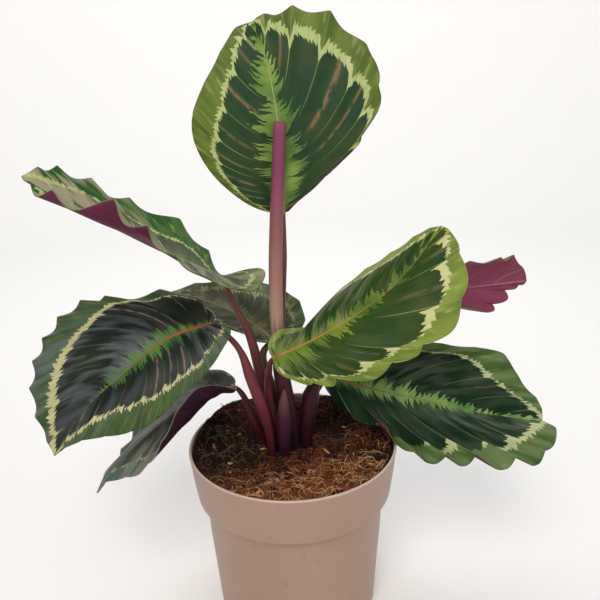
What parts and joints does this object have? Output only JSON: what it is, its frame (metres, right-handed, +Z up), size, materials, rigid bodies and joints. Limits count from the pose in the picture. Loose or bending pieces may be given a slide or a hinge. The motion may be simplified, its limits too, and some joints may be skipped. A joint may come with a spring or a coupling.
{
  "type": "potted calathea",
  "caption": "Calathea house plant with waved, patterned leaves on purple stalks, standing in the soil of a round taupe nursery pot with a deep collar.",
  "frame": {"origin": "centre of the pot's flat underside, on the pot's axis", "axes": "+Z up along the pot's axis; the picture was taken from the -Y side, with +X to its right"},
  "size_m": [0.4096, 0.17, 0.4808],
  "materials": {
    "pot_plastic": "satin",
    "soil": "matt, crumbly peat and coir",
    "leaf": "semi-gloss, smooth",
    "stalk": "semi-gloss, smooth"
  },
  "bodies": {
    "root": {"pot": "pot_plastic", "soil": "soil", "leaf_top": "leaf", "leaf_upper_left": "leaf", "leaf_left": "leaf", "leaf_lower_left": "leaf", "leaf_right_front": "leaf", "leaf_right_low": "leaf", "leaf_right_back": "leaf", "leaf_back": "leaf", "cut_stalk": "stalk", "young_leaf": "stalk"}
  },
  "joints": []
}
